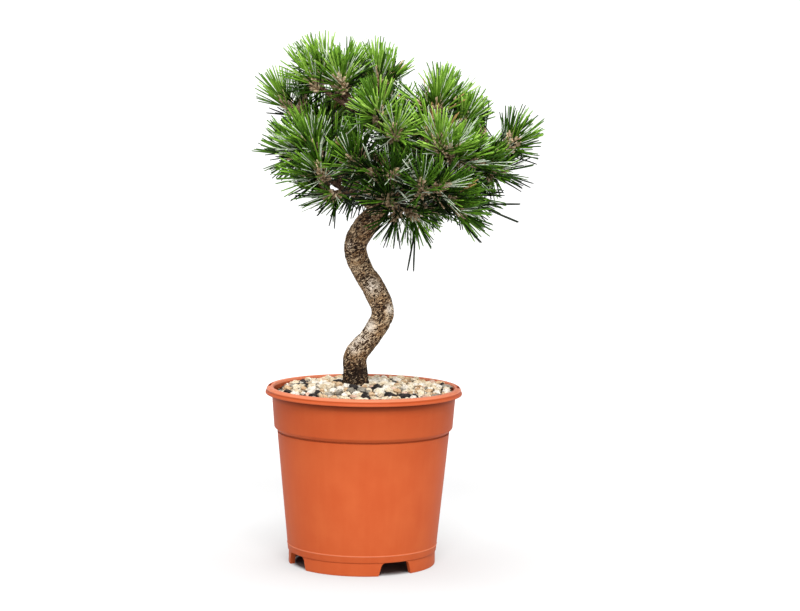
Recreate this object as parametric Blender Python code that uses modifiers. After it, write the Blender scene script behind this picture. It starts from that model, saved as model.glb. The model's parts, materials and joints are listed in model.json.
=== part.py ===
"""Potted senjumaru Japanese black pine: a short-needled pine with a winding trunk in a nursery pot.

Metres, +Z up. The pot stands on Z = 0, and the origin is at the middle of the whole plant's foot print.
Turns are in degrees about Z, seen from above: 0 is to the right, 90 to the back and 270 to the front.
"""

import math
import random

import bmesh
import bpy
from mathutils import Matrix, Quaternion, Vector

MM = 0.001
CLEARANCE = 0.3 * MM
SEED = 41
UP = Vector((0, 0, 1))

# Pot: a five litre container, 225 mm over its lip
POT_AXIS = Vector((-36 * MM, -1 * MM, 0))
POT_STEPS = 30
POT_HEIGHT = 203.5 * MM
WALL = 2 * MM
LIP_RADIUS = 112.5 * MM
LIP_HEIGHT = 8 * MM
COLLAR_RADIUS = 105.2 * MM
COLLAR_TAPER = 3 * MM
COLLAR_HEIGHT = 38 * MM
CHAMFER = 3.4 * MM
BODY_FOOT_RADIUS = 85.2 * MM
FOOT_HEIGHT = 15.5 * MM
FOOT_RING_OUTER = 84.2 * MM
FOOT_RING_WIDTH = 6 * MM
FLOOR = 2.5 * MM
FEET = 4
FOOT_GAP_WIDTH = (41 * MM, 33 * MM)
FOOT_GAP_TURN = 298
FOOT_GAP_ROOF = 0.5 * MM
DRAIN_HOLES = 6
DRAIN_RADIUS = 5 * MM
DRAIN_RING = 48 * MM
DRAIN_SIDES = 8

# The lip's section from the inside out and down, in mm from its outer radius and its top
LIP_SECTION = (
    (-8.2, 0.0),
    (-3.0, 0.0),
    (-1.0, -2.5),
    (-1.4, -4.4),
    (0.0, -5.8),
    (0.0, -7.6),
    (-1.4, -8.0),
)

# Fill and the stones on it
FILL_TOP = 188 * MM
GROUND = 206 * MM
GROUND_FLAT = 20 * MM
MOUND_EDGE = 199 * MM
MOUND_LEAN = (3 * MM, 2 * MM)
MOUND_RINGS = 5
MOUND_STEPS = 20
MOUND_ROUGH = 2.4 * MM
STONES = 8
STONE_SIZE = (7 * MM, 11 * MM)
STONE_RAISED = 0.15
EVEN_GROUND = 36 * MM

# Trunk: places of its bends and its diameter at each, from the ground to the leader, in mm
TRUNK_BENDS = (
    (-45, 4, 196, 36),
    (-45, 4, 206, 31),
    (-46, 3, 222, 27),
    (-45, 0, 240, 26),
    (-28, -3, 263, 23.5),
    (-15.5, -3, 288, 25),
    (-25, 3, 314, 26),
    (-40.5, 6, 338, 24.5),
    (-48, 4, 363, 25.5),
    (-38, -3, 386, 27),
    (-21, -4, 407, 22),
    (-7, -1, 434, 19),
    (-1, 3, 458, 15),
    (7, 4, 490, 10),
)
STEPS_PER_BEND = 2
TRUNK_SIDES = 10

# Boughs: thickness at the trunk and at the tip, and how far their middle rises
BOUGH_ROOT = 9.5 * MM
BOUGH_TIP = 6 * MM
BOUGH_ARCH = 0.06
BOUGH_STEPS = 4
BOUGH_SIDES = 6
SHORTEST_BOUGH = 60 * MM
STEM_LENGTH = 16 * MM
LAST_STEP = 21 * MM

# Shoots and needles
TWIG_RADIUS = 2.9 * MM
TWIG_TAPER = 0.85
TWIG_SIDES = 3
STEM_SIDES = 5
CORE_RADIUS = (3.9 * MM, 2.3 * MM)
CORE_LENGTH = 24 * MM
CORE_SIDES = 4
SPACE_MIDDLE = 0.8
LIFT = 0.45
LOWEST_LIFTED = -10
GOLDEN_ANGLE = 137.5

# Sprays of needles: each is a flat blade with a tooth for every needle, drawn one unit long
BLADES = 5
BLADE_LENGTH = 42 * MM
BLADE_LENGTH_SPREAD = 0.06
BLADE_OPENING = (68, 8)
BLADE_OPENING_SPREAD = 5
BLADE_ROOTS = (0.2, 0.9)
BLADE_ROOT = 0.05
BLADE_THICKNESS = 0.03
SHORTEST_BLADE = 22 * MM
BLADE_MARGIN = 2 * MM
DRAWN_IN = (1.0, 0.8, 0.6, 0.45)
TEETH = 3
TOOTH_TURN = 15
TOOTH_REACH = (0.93, 1.0, 0.9)
VALLEY_REACH = 0.44

# Each mass: its height on the trunk in mm, then (turn, rise, reach) of the way to its fork, then the same for
# each shoot from there, with reaches in mm
MASSES = {
    "left_low": (402, (210, 35, 45), ((220, 5, 40), (240, 25, 70))),
    "left_mid": (424, (195, 30, 80), ((170, 20, 45), (215, 10, 35), (250, 20, 50))),
    "left_high": (452, (170, 20, 100), ((190, 50, 60), (60, 45, 35))),
    "crest_left": (474, (205, 40, 60), ((170, 45, 80), (180, 35, 80), (165, 50, 75))),
    "crest": (483, (145, 55, 45), ((165, 75, 45), (110, 65, 45))),
    "front_high": (460, (255, 35, 50), ((240, 55, 45), (280, 15, 50))),
    "front_mid": (440, (245, 15, 50), ((235, 15, 50), (290, 0, 65))),
    "front_low": (412, (295, 10, 50), ((250, 10, 45), (310, -35, 35))),
    "front_low_right": (434, (305, -5, 65), ((335, -25, 50), (265, 15, 55), (330, 0, 40))),
    "right_front": (456, (315, 0, 70), ((265, 45, 50), (330, 30, 35))),
    "leader": (488, (350, 20, 35), ((280, 50, 40), (70, 60, 45))),
    "right_high": (466, (0, 25, 65), ((340, 45, 25), (60, 20, 20))),
    "right": (446, (0, 5, 100), ((345, 50, 50), (20, 25, 20), (285, 15, 30))),
    "right_low": (422, (350, 10, 65), ((325, 5, 30), (40, 0, 30))),
    "back_left": (437, (150, 15, 80), ((160, 20, 45), (115, -10, 35))),
    "back_crest": (470, (110, 30, 50), ((145, 35, 40), (85, 15, 50), (45, 5, 45))),
    "back_right_high": (484, (50, -5, 55), ((75, 40, 45), (40, 30, 35))),
    "back_right": (432, (30, 20, 95), ((20, 5, 30), (75, -10, 50))),
    "back_mid": (460, (70, 0, 65), ((45, 0, 50), (85, 15, 45), (130, 10, 50))),
    "back_low_left": (418, (115, 15, 60), ((115, 10, 40), (80, -15, 40), (200, -20, 30))),
    "back_low": (408, (55, 15, 65), ((105, 5, 55), (60, 0, 50), (60, -35, 30))),
    "back_low_right": (420, (35, 10, 80), ((70, -5, 45), (15, 10, 35))),
}


def clear_scene():
    for obj in list(bpy.data.objects):
        bpy.data.objects.remove(obj)


def collection(name):
    made = bpy.data.collections.new(name)
    bpy.context.scene.collection.children.link(made)
    return made


def finish(name, colour, roughness):
    material = bpy.data.materials.new(name)
    material.use_nodes = True
    shader = material.node_tree.nodes["Principled BSDF"]
    shader.inputs["Base Color"].default_value = (*colour, 1)
    shader.inputs["Roughness"].default_value = roughness
    shader.inputs["Metallic"].default_value = 0
    return material


def add(name, mesh, where, material=None):
    obj = bpy.data.objects.new(name, mesh)
    where.objects.link(obj)
    if material and not mesh.materials:
        mesh.materials.append(material)
    return obj


def as_cutter(obj):
    obj.hide_render = True
    obj.display_type = "WIRE"


def as_mesh(bm, name):
    mesh = bpy.data.meshes.new(name)
    bm.to_mesh(mesh)
    bm.free()
    return mesh


def applied(obj, weld=0.0):
    """The object's evaluated mesh in a plain object of the same name, with loose caps welded."""
    bpy.context.view_layer.update()
    graph = bpy.context.evaluated_depsgraph_get()
    mesh = bpy.data.meshes.new_from_object(obj.evaluated_get(graph))
    name = obj.name
    where = obj.users_collection[0]
    place = obj.matrix_world.copy()
    bpy.data.objects.remove(obj)
    if weld:
        bm = bmesh.new()
        bm.from_mesh(mesh)
        bmesh.ops.remove_doubles(bm, verts=bm.verts, dist=weld)
        bm.to_mesh(mesh)
        bm.free()
    made = add(name, mesh, where)
    made.matrix_world = place
    return made


def between(ends, t):
    return ends[0] + (ends[1] - ends[0]) * t


def direction(turn, rise):
    flat = math.cos(math.radians(rise))
    around = math.radians(turn)
    return Vector((flat * math.cos(around), flat * math.sin(around), math.sin(math.radians(rise))))


def turned(name, profile, steps, where, material):
    """A profile of (radius, height) points turned about the pot's axis, outer side running down."""
    bm = bmesh.new()
    points = [bm.verts.new((radius, 0, height)) for radius, height in profile]
    for start, end in zip(points, points[1:]):
        bm.edges.new((start, end))
    obj = add(name, as_mesh(bm, name), where, material)
    obj.location = POT_AXIS
    screw = obj.modifiers.new("Turn", "SCREW")
    screw.steps = steps
    screw.render_steps = steps
    screw.use_merge_vertices = True
    screw.merge_threshold = 0.01 * MM
    screw.use_smooth_shade = True
    return obj


def collar_foot():
    return POT_HEIGHT - LIP_HEIGHT - COLLAR_HEIGHT


def body_top_radius():
    return COLLAR_RADIUS - COLLAR_TAPER - CHAMFER


def outer_wall():
    """The outer face of the pot below its lip, from the top down."""
    return [
        (COLLAR_RADIUS, POT_HEIGHT - LIP_HEIGHT),
        (COLLAR_RADIUS - COLLAR_TAPER, collar_foot()),
        (body_top_radius(), collar_foot() - CHAMFER),
        (BODY_FOOT_RADIUS, FOOT_HEIGHT),
    ]


def inner_wall(gap=0.0):
    """The inner face from the floor up, set in by a gap where something fills the pot."""
    inset = WALL + gap
    slope = (body_top_radius() - BODY_FOOT_RADIUS) / (collar_foot() - CHAMFER - FOOT_HEIGHT)
    floor_top = FOOT_HEIGHT + FLOOR + gap
    return [
        (BODY_FOOT_RADIUS + slope * (FLOOR + gap) - inset, floor_top),
        (body_top_radius() - inset, collar_foot() - CHAMFER),
        (COLLAR_RADIUS - COLLAR_TAPER - inset, collar_foot()),
        (COLLAR_RADIUS - inset, POT_HEIGHT - LIP_HEIGHT),
    ]


def lip():
    """The lip's flat band, its step and the flare below it."""
    return [(LIP_RADIUS + out * MM, POT_HEIGHT + up * MM) for out, up in LIP_SECTION]


def foot_ring():
    inner = FOOT_RING_OUTER - FOOT_RING_WIDTH
    return [
        (FOOT_RING_OUTER, FOOT_HEIGHT),
        (FOOT_RING_OUTER, 0),
        (inner, 0),
        (inner, FOOT_HEIGHT),
        (0, FOOT_HEIGHT),
    ]


def foot_gap_cutters(where):
    """Wedges through the foot ring, one between each two feet, each half below the ground."""
    ground_width, roof_width = FOOT_GAP_WIDTH
    lowest_width = 2 * ground_width - roof_width
    for i in range(FEET):
        bm = bmesh.new()
        bmesh.ops.create_cube(bm, size=1)
        size = (4 * FOOT_RING_WIDTH, lowest_width, 2 * (FOOT_HEIGHT - FOOT_GAP_ROOF))
        bmesh.ops.scale(bm, vec=size, verts=bm.verts)
        for vert in bm.verts:
            if vert.co.z > 0:
                vert.co.y *= roof_width / lowest_width
        turn = FOOT_GAP_TURN + i * 360 / FEET
        bmesh.ops.rotate(bm, matrix=Matrix.Rotation(math.radians(turn), 3, "Z"), verts=bm.verts)
        cutter = add(f"foot_gap_{i + 1}", as_mesh(bm, "foot gap"), where)
        cutter.location = POT_AXIS + (FOOT_RING_OUTER - FOOT_RING_WIDTH / 2) * direction(turn, 0)


def drain_cutters(where):
    for i in range(DRAIN_HOLES):
        bm = bmesh.new()
        bmesh.ops.create_cone(
            bm, cap_ends=True, segments=DRAIN_SIDES, radius1=DRAIN_RADIUS, radius2=DRAIN_RADIUS, depth=4 * FLOOR
        )
        cutter = add(f"drain_{i + 1}", as_mesh(bm, "drain"), where)
        cutter.location = POT_AXIS + DRAIN_RING * direction(i * 360 / DRAIN_HOLES, 0)
        cutter.location.z = FOOT_HEIGHT + FLOOR / 2


def make_pot(where, cutters):
    plastic = finish("terracotta plastic", (0.69, 0.13, 0.03), 0.5)
    floor_top = FOOT_HEIGHT + FLOOR
    profile = [(0, floor_top)] + inner_wall() + lip() + outer_wall() + foot_ring()
    pot = turned("pot", profile, POT_STEPS, where, plastic)
    foot_gap_cutters(cutters)
    drain_cutters(cutters)
    for obj in cutters.objects:
        as_cutter(obj)
    cut = pot.modifiers.new("Gaps and drains", "BOOLEAN")
    cut.operation = "DIFFERENCE"
    cut.operand_type = "COLLECTION"
    cut.collection = cutters
    return pot


def make_fill(where):
    soil = finish("potting grit", (0.16, 0.11, 0.075), 0.95)
    outline = inner_wall(CLEARANCE)
    top_radius = outline[2][0] + COLLAR_TAPER * (FILL_TOP - collar_foot()) / COLLAR_HEIGHT
    profile = [(0, FILL_TOP), (top_radius, FILL_TOP)] + outline[2::-1] + [(0, outline[0][1])]
    return turned("fill", profile, POT_STEPS, where, soil)


def trunk_foot():
    x, y, _, _ = TRUNK_BENDS[1]
    return Vector((x, y, 0)) * MM


def mound_height(place):
    """The stones' mean level: flat under the trunk, falling to the wall, lower on the left and in front."""
    away = (place - trunk_foot()).xy.length
    fall = min(1, max(0, (away - GROUND_FLAT) / (COLLAR_RADIUS - GROUND_FLAT)))
    out = (place - POT_AXIS) / COLLAR_RADIUS
    lean = MOUND_LEAN[0] * out.x + MOUND_LEAN[1] * out.y
    return GROUND - (GROUND - MOUND_EDGE) * fall + lean * fall


def stone(size, draw):
    """A blunt, uneven stone about its own middle."""
    bm = bmesh.new()
    bmesh.ops.create_icosphere(bm, subdivisions=1, radius=size)
    shape = (draw.uniform(0.75, 1.15), draw.uniform(0.7, 1.0), draw.uniform(0.6, 0.85))
    bmesh.ops.scale(bm, vec=shape, verts=bm.verts)
    for vert in bm.verts:
        vert.co *= draw.uniform(0.86, 1.1)
    spin = Matrix.Rotation(draw.uniform(0, math.tau), 3, "Z")
    tip = Matrix.Rotation(draw.uniform(-0.5, 0.5), 3, "X")
    bmesh.ops.rotate(bm, matrix=spin @ tip, verts=bm.verts)
    return as_mesh(bm, "stone")


def make_top_dressing(where, draw):
    """A rough mound of stones on the fill, with the larger ones fused on."""
    pumice = finish("pumice stones", (0.62, 0.5, 0.36), 0.9)
    edge = inner_wall(CLEARANCE)[2][0]
    bottom = FILL_TOP + CLEARANCE
    profile = [(edge * i / MOUND_RINGS, MOUND_EDGE) for i in range(MOUND_RINGS + 1)]
    profile += [(edge, bottom), (0, bottom)]
    mound = applied(turned("top_dressing", profile, MOUND_STEPS, where, pumice))
    for vert in mound.data.vertices:
        if vert.co.z < MOUND_EDGE - MM:
            continue
        place = vert.co + POT_AXIS
        vert.co.z = mound_height(place)
        if (place - trunk_foot()).xy.length > EVEN_GROUND:
            vert.co.z += draw.uniform(-1, 1) * MOUND_ROUGH
    mound.data.shade_flat()
    operands = collection("Stones")
    for i in range(STONES):
        size = draw.uniform(*STONE_SIZE)
        radius = (edge - 2 * size) * math.sqrt((i + 0.6) / STONES)
        place = POT_AXIS + radius * direction(i * GOLDEN_ANGLE, 0)
        if (place - trunk_foot()).xy.length < EVEN_GROUND + size:
            continue
        place.z = mound_height(place) + STONE_RAISED * size
        rock = add("stone", stone(size, draw), operands)
        rock.location = place
    return joined(mound, operands)


def joined(base, operands):
    """One union of the base with a collection of closed meshes, which is then removed."""
    join = base.modifiers.new("Join", "BOOLEAN")
    join.operation = "UNION"
    join.operand_type = "COLLECTION"
    join.collection = operands
    join.solver = "EXACT"
    made = largest_body(applied(base))
    for obj in list(operands.objects):
        bpy.data.objects.remove(obj)
    bpy.data.collections.remove(operands)
    return made


def largest_body(obj):
    """Drops what a union left loose: scraps, and the walls of a hollow that it sealed."""
    bm = bmesh.new()
    bm.from_mesh(obj.data)
    bmesh.ops.remove_doubles(bm, verts=bm.verts, dist=0.001 * MM)
    bmesh.ops.triangulate(bm, faces=bm.faces)
    unseen = set(bm.faces)
    bodies = []
    while unseen:
        front = [unseen.pop()]
        body = set(front)
        while front:
            sides = [edge for edge in front.pop().edges if len(edge.link_faces) == 2]
            for other in {face for edge in sides for face in edge.link_faces} & unseen:
                unseen.remove(other)
                body.add(other)
                front.append(other)
        bodies.append(body)
    keep = max(bodies, key=len)
    loose = [face for body in bodies if body is not keep for face in body]
    bmesh.ops.delete(bm, geom=loose, context="FACES")
    bm.to_mesh(obj.data)
    bm.free()
    return obj


def smooth_path(bends, steps):
    """A smooth line through the bends, as (place, diameter) pairs in metres."""
    last = len(bends) - 1
    rows = []
    for i in range(last):
        around = (bends[max(i - 1, 0)], bends[i], bends[i + 1], bends[min(i + 2, last)])
        for step in range(steps):
            rows.append([spline_value(*numbers, step / steps) for numbers in zip(*around)])
    rows.append(bends[last])
    return [(Vector(row[:3]) * MM, row[3] * MM) for row in rows]


def spline_value(before, start, end, after, t):
    """The Catmull-Rom curve through start and end, at a share t of the way."""
    return 0.5 * (
        2 * start
        + (end - before) * t
        + (2 * before - 5 * start + 4 * end - after) * t**2
        + (3 * start - before - 3 * end + after) * t**3
    )


def tube(name, path, where, material, sides, grow=0.0):
    """A closed tube along (place, diameter) pairs, its radius grown by a gap for a cutter."""
    curve = bpy.data.curves.new(name, "CURVE")
    curve.dimensions = "3D"
    curve.bevel_depth = 1 * MM
    curve.bevel_resolution = sides // 2 - 2
    curve.use_fill_caps = True
    spline = curve.splines.new("POLY")
    spline.points.add(len(path) - 1)
    for point, (place, diameter) in zip(spline.points, path):
        point.co = (*place, 1)
        point.radius = (diameter / 2 + grow) / MM
    obj = bpy.data.objects.new(name, curve)
    where.objects.link(obj)
    curve.materials.append(material)
    return applied(obj, weld=0.01 * MM)


def cut_level(obj, height):
    """Cuts the foot of the trunk flat at the ground."""
    bm = bmesh.new()
    bm.from_mesh(obj.data)
    cut = bmesh.ops.bisect_plane(
        bm,
        geom=bm.verts[:] + bm.edges[:] + bm.faces[:],
        plane_co=(0, 0, height),
        plane_no=(0, 0, 1),
        clear_inner=True,
    )
    rim = [item for item in cut["geom_cut"] if isinstance(item, bmesh.types.BMEdge)]
    bmesh.ops.edgenet_fill(bm, edges=rim)
    bmesh.ops.recalc_face_normals(bm, faces=bm.faces)
    bm.to_mesh(obj.data)
    bm.free()


def trunk_at(path, height):
    """Where the trunk's middle line passes a height."""
    for (low, _), (high, _) in zip(path, path[1:]):
        if low.z <= height <= high.z:
            return low.lerp(high, (height - low.z) / (high.z - low.z))
    return path[-1][0]


def bough_line(start, fork):
    """A limb's middle line, arched a little, from the trunk's middle to where its mass takes over."""
    reach = (fork - start).length
    points = []
    for i in range(BOUGH_STEPS + 1):
        t = i / BOUGH_STEPS
        points.append(start.lerp(fork, t) + UP * BOUGH_ARCH * reach * 4 * t * (1 - t))
    while (fork - points[-1]).length < LAST_STEP:
        points.pop()
    points.append(fork + STEM_LENGTH * (points[-1] - fork).normalized())
    return points


def segment_gap(a, b, c, d):
    """The least distance between segments a-b and c-d."""
    u, v, w = b - a, d - c, a - c
    uu, uv, vv, uw, vw = u.dot(u), u.dot(v), v.dot(v), u.dot(w), v.dot(w)
    den = uu * vv - uv * uv
    s = 0.0 if den < 1e-12 else min(1, max(0, (uv * vw - vv * uw) / den))
    t = min(1, max(0, (uv * s + vw) / vv)) if vv > 1e-12 else 0.0
    s = min(1, max(0, (uv * t - uw) / uu)) if uu > 1e-12 else 0.0
    return (a + u * s - c - v * t).length


class Shoot:
    """One shoot of a mass: its twig from the fork, and the core that its needles stand on."""

    def __init__(self, fork, turn, rise, reach):
        along = direction(turn, rise)
        lift = LIFT if rise > LOWEST_LIFTED else 0
        self.axis = (along + lift * UP).normalized()
        self.tip = fork + reach * MM * along
        self.foot = self.tip - CORE_LENGTH * self.axis
        self.middle = self.foot.lerp(self.tip, SPACE_MIDDLE)


class Mass:
    """One mass of foliage: its bough, if it is far enough out to have one, its stem, its fork and its shoots."""

    def __init__(self, name, trunk):
        height, (turn, rise, reach), shoots = MASSES[name]
        self.name = name
        self.stem = trunk_at(trunk, height * MM)
        self.fork = self.stem + reach * MM * direction(turn, rise)
        self.bough = []
        if reach * MM >= SHORTEST_BOUGH:
            self.bough = bough_line(self.stem, self.fork)
            tip = self.bough[-1]
            self.stem = tip + CLEARANCE * (self.fork - tip).normalized()
        self.shoots = [Shoot(self.fork, *shoot) for shoot in shoots]

    def bough_limbs(self):
        return [(a, b, BOUGH_ROOT / 2) for a, b in zip(self.bough, self.bough[1:])]

    def own_limbs(self):
        """The stem, twigs and cores, as (start, end, radius)."""
        limbs = [(self.stem, self.fork, BOUGH_TIP / 2)]
        for shoot in self.shoots:
            limbs.append((self.fork, shoot.foot, TWIG_RADIUS))
            limbs.append((shoot.foot, shoot.tip, CORE_RADIUS[0]))
        return limbs


def cone(name, start, end, radius_start, radius_end, segments, where):
    """A straight tapering limb between two points."""
    along = end - start
    bm = bmesh.new()
    bmesh.ops.create_cone(
        bm, cap_ends=True, segments=segments, radius1=radius_start, radius2=radius_end, depth=along.length
    )
    turn = along.to_track_quat("Z", "Y").to_matrix()
    bmesh.ops.rotate(bm, matrix=turn, verts=bm.verts)
    bmesh.ops.translate(bm, vec=(start + end) / 2, verts=bm.verts)
    return add(name, as_mesh(bm, name), where)


def tooth_turns():
    """The turns of a blade's teeth from its middle, from left to right."""
    return [(i - (TEETH - 1) / 2) * TOOTH_TURN for i in range(TEETH)]


def spray_pattern():
    """The toothed blade as a mesh: one unit long up Y, with its root at the origin."""
    outline = [(-BLADE_ROOT, 0)]
    for i, (turn, reach) in enumerate(zip(tooth_turns(), TOOTH_REACH)):
        if i:
            valley = math.radians(turn - TOOTH_TURN / 2)
            outline.append((VALLEY_REACH * math.sin(valley), VALLEY_REACH * math.cos(valley)))
        tooth = math.radians(turn)
        outline.append((reach * math.sin(tooth), reach * math.cos(tooth)))
    outline.append((BLADE_ROOT, 0))
    curve = bpy.data.curves.new("spray", "CURVE")
    curve.dimensions = "2D"
    curve.fill_mode = "BOTH"
    curve.extrude = BLADE_THICKNESS / 2
    spline = curve.splines.new("POLY")
    spline.points.add(len(outline) - 1)
    for point, (x, y) in zip(spline.points, outline):
        point.co = (x, y, 0, 1)
    spline.use_cyclic_u = True
    obj = bpy.data.objects.new("spray", curve)
    bpy.context.scene.collection.objects.link(obj)
    blade = applied(obj, weld=0.001)
    mesh = blade.data
    bpy.data.objects.remove(blade)
    return mesh


def room_for(root, tip, own, others):
    """How much of a tooth stays nearer its own shoot than any shoot of another mass, from 0 to 1."""
    share = 1.0
    for other in others:
        way = other.middle - own.middle
        wall = way.length / 2 - 2 * CLEARANCE
        way.normalize()
        at_root = (root - own.middle).dot(way)
        at_tip = (tip - own.middle).dot(way)
        if at_root > wall - CORE_RADIUS[1]:
            return 0.0
        if at_tip > wall:
            share = min(share, (wall - at_root) / (at_tip - at_root))
    return share


def clear_share(root, tip, limbs):
    """How much of a tooth is clear of the limbs of others: all of it, a part or none."""
    for share in DRAWN_IN:
        end = root.lerp(tip, share)
        if all(segment_gap(root, end, a, b) > radius + BLADE_MARGIN for a, b, radius in limbs):
            return share
    return 0.0


def sprays_of(shoot, rivals, limbs, pattern, where, draw):
    """Blades on golden turns up the core, opening most at its foot, each drawn in where its space ends."""
    side = shoot.axis.orthogonal().normalized()
    phase = draw.uniform(0, 360)
    for i in range(BLADES):
        t = i / (BLADES - 1)
        around = Quaternion(shoot.axis, math.radians(phase + i * GOLDEN_ANGLE)) @ side
        opening = between(BLADE_OPENING, t) + draw.uniform(-1, 1) * BLADE_OPENING_SPREAD
        opening = math.radians(opening)
        along = math.cos(opening) * shoot.axis + math.sin(opening) * around
        across = shoot.axis.cross(along).normalized()
        length = BLADE_LENGTH * (1 + draw.uniform(-1, 1) * BLADE_LENGTH_SPREAD)
        root = shoot.foot.lerp(shoot.tip, between(BLADE_ROOTS, t))
        share = 1.0
        for turn, reach in zip(tooth_turns(), TOOTH_REACH):
            tooth = math.radians(turn)
            tip = root + reach * length * (math.cos(tooth) * along + math.sin(tooth) * across)
            share = min(share, room_for(root, tip, shoot, rivals), clear_share(root, tip, limbs))
        if share * length < SHORTEST_BLADE:
            continue
        blade = add(f"spray_{i}", pattern, where)
        frame = Matrix((across, along, across.cross(along))).transposed()
        blade.matrix_world = Matrix.LocRotScale(root, frame.to_quaternion(), Vector.Fill(3, share * length))


def make_bough(mass, where, bark, cutter):
    """A tapering limb whose root is cut to the trunk's side."""
    start = mass.bough[0]
    reach = (mass.fork - start).length
    taper = []
    for point in mass.bough:
        taper.append((point, between((BOUGH_ROOT, BOUGH_TIP), (point - start).length / reach)))
    bough = tube(f"bough_{mass.name}", taper, where, bark, BOUGH_SIDES)
    cut_to_trunk(bough, cutter)


def cut_to_trunk(obj, cutter):
    cut = obj.modifiers.new("Trunk", "BOOLEAN")
    cut.operation = "DIFFERENCE"
    cut.object = cutter


def make_foliage(mass, masses, limbs, pattern, where, green, cutter, draw):
    """The mass as one solid: its stem, a twig and a core for each shoot, and the sprays on them."""
    operands = collection("Sprays")
    rivals = [shoot for other in masses if other is not mass for shoot in other.shoots]
    for shoot in mass.shoots:
        sunk = TWIG_RADIUS / 2 * (shoot.foot - mass.fork).normalized()
        twig_tip = TWIG_RADIUS * TWIG_TAPER
        cone("twig", mass.fork - sunk, shoot.foot + sunk, TWIG_RADIUS, twig_tip, TWIG_SIDES, operands)
        cone("core", shoot.foot, shoot.tip, *CORE_RADIUS, CORE_SIDES, operands)
        sprays_of(shoot, rivals, limbs, pattern, operands, draw)
    past_fork = mass.fork + 1 * MM * (mass.fork - mass.stem).normalized()
    stem = cone(f"needles_{mass.name}", mass.stem, past_fork, BOUGH_TIP / 2, BOUGH_TIP / 2, STEM_SIDES, where)
    stem.data.materials.append(green)
    made = joined(stem, operands)
    if not mass.bough:
        cut_to_trunk(made, cutter)


def make_crown(where, cutters, draw):
    """The trunk, its boughs and every mass of foliage."""
    bark = finish("bark", (0.23, 0.17, 0.13), 0.9)
    green = finish("needles", (0.12, 0.27, 0.06), 0.6)
    path = smooth_path(TRUNK_BENDS, STEPS_PER_BEND)
    trunk = tube("trunk", path, where, bark, TRUNK_SIDES)
    cut_level(trunk, GROUND + CLEARANCE)
    cutter = tube("trunk_and_gap", path, cutters, bark, TRUNK_SIDES, grow=CLEARANCE)
    as_cutter(cutter)
    masses = [Mass(name, path) for name in MASSES]
    pattern = spray_pattern()
    trunk_limbs = [(a, b, width / 2) for (a, width), (b, _) in zip(path, path[1:])]
    for mass in masses:
        if mass.bough:
            make_bough(mass, where, bark, cutter)
        limbs = trunk_limbs + [limb for other in masses for limb in other.bough_limbs()]
        limbs += [limb for other in masses if other is not mass for limb in other.own_limbs()]
        make_foliage(mass, masses, limbs, pattern, where, green, cutter, draw)


def main():
    clear_scene()
    plant = collection("Potted senjumaru Japanese black pine")
    pot_cutters = collection("Pot cutters")
    limb_cutters = collection("Limb cutters")
    draw = random.Random(SEED)
    make_pot(plant, pot_cutters)
    make_fill(plant)
    make_top_dressing(plant, draw)
    make_crown(plant, limb_cutters, draw)


main()
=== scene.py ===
"""Looks of the potted senjumaru Japanese black pine: bark, shoots, needles, stones and the plastic pot.

Metres, +Z up, in the solids' own frame. Turns are in degrees about Z: 0 is to the right, 90 to the back.
"""

import json
import math
import random

import bmesh
import bpy
import numpy as np
from mathutils import Color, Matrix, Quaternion, Vector

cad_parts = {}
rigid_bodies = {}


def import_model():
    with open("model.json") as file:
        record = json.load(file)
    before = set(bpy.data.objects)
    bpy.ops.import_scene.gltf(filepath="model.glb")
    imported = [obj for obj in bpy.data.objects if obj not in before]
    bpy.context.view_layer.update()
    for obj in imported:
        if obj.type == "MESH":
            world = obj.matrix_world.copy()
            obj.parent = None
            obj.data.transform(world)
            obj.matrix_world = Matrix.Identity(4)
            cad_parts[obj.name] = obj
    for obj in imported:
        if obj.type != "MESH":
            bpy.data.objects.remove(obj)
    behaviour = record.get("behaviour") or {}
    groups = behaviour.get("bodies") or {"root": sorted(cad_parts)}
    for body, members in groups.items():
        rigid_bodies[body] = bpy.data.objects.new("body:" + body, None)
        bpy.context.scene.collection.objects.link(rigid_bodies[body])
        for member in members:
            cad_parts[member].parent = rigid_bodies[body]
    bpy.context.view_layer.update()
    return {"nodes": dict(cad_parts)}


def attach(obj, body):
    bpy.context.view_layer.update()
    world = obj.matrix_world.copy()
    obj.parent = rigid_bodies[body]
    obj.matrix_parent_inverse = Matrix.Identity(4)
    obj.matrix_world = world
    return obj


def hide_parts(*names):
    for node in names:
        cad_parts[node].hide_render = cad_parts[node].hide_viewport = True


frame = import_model()

MM = 0.001
SEED = 41
UP = Vector((0, 0, 1))
BODY = "root"
GOLDEN_ANGLE = 137.5

# Camera: at the height of the crown, tilted down and rolled a little
CAMERA_PLACE = (4 * MM, -2700 * MM, 578.5 * MM)
CAMERA_TILT = 5.954
CAMERA_ROLL = 0.8
CAMERA_LENS = 107.06

# Studio: each light's name, place and side in metres, and power in watts
LIGHTS = (
    ("key", (0.15, -2.2, 2.4), 1.2, 98),
    ("top", (0.1, 0.1, 2.8), 1.5, 86),
)
AIM = Vector((0, 0, 0.35))
SKY = 0.58
STAGE_RADIUS = 6
STAGE_WALL = 1.2
# The paper's glow is painted light, brighter further out, and cut out under the pot as painted shade
PAPER = (148, 148, 148)
PAPER_GLOW = ((180, 180, 180), (244, 244, 244))
PAPER_GLOW_STARTS = 0.9
SHADED_PAPER = (80 * MM, 5 * MM)

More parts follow.
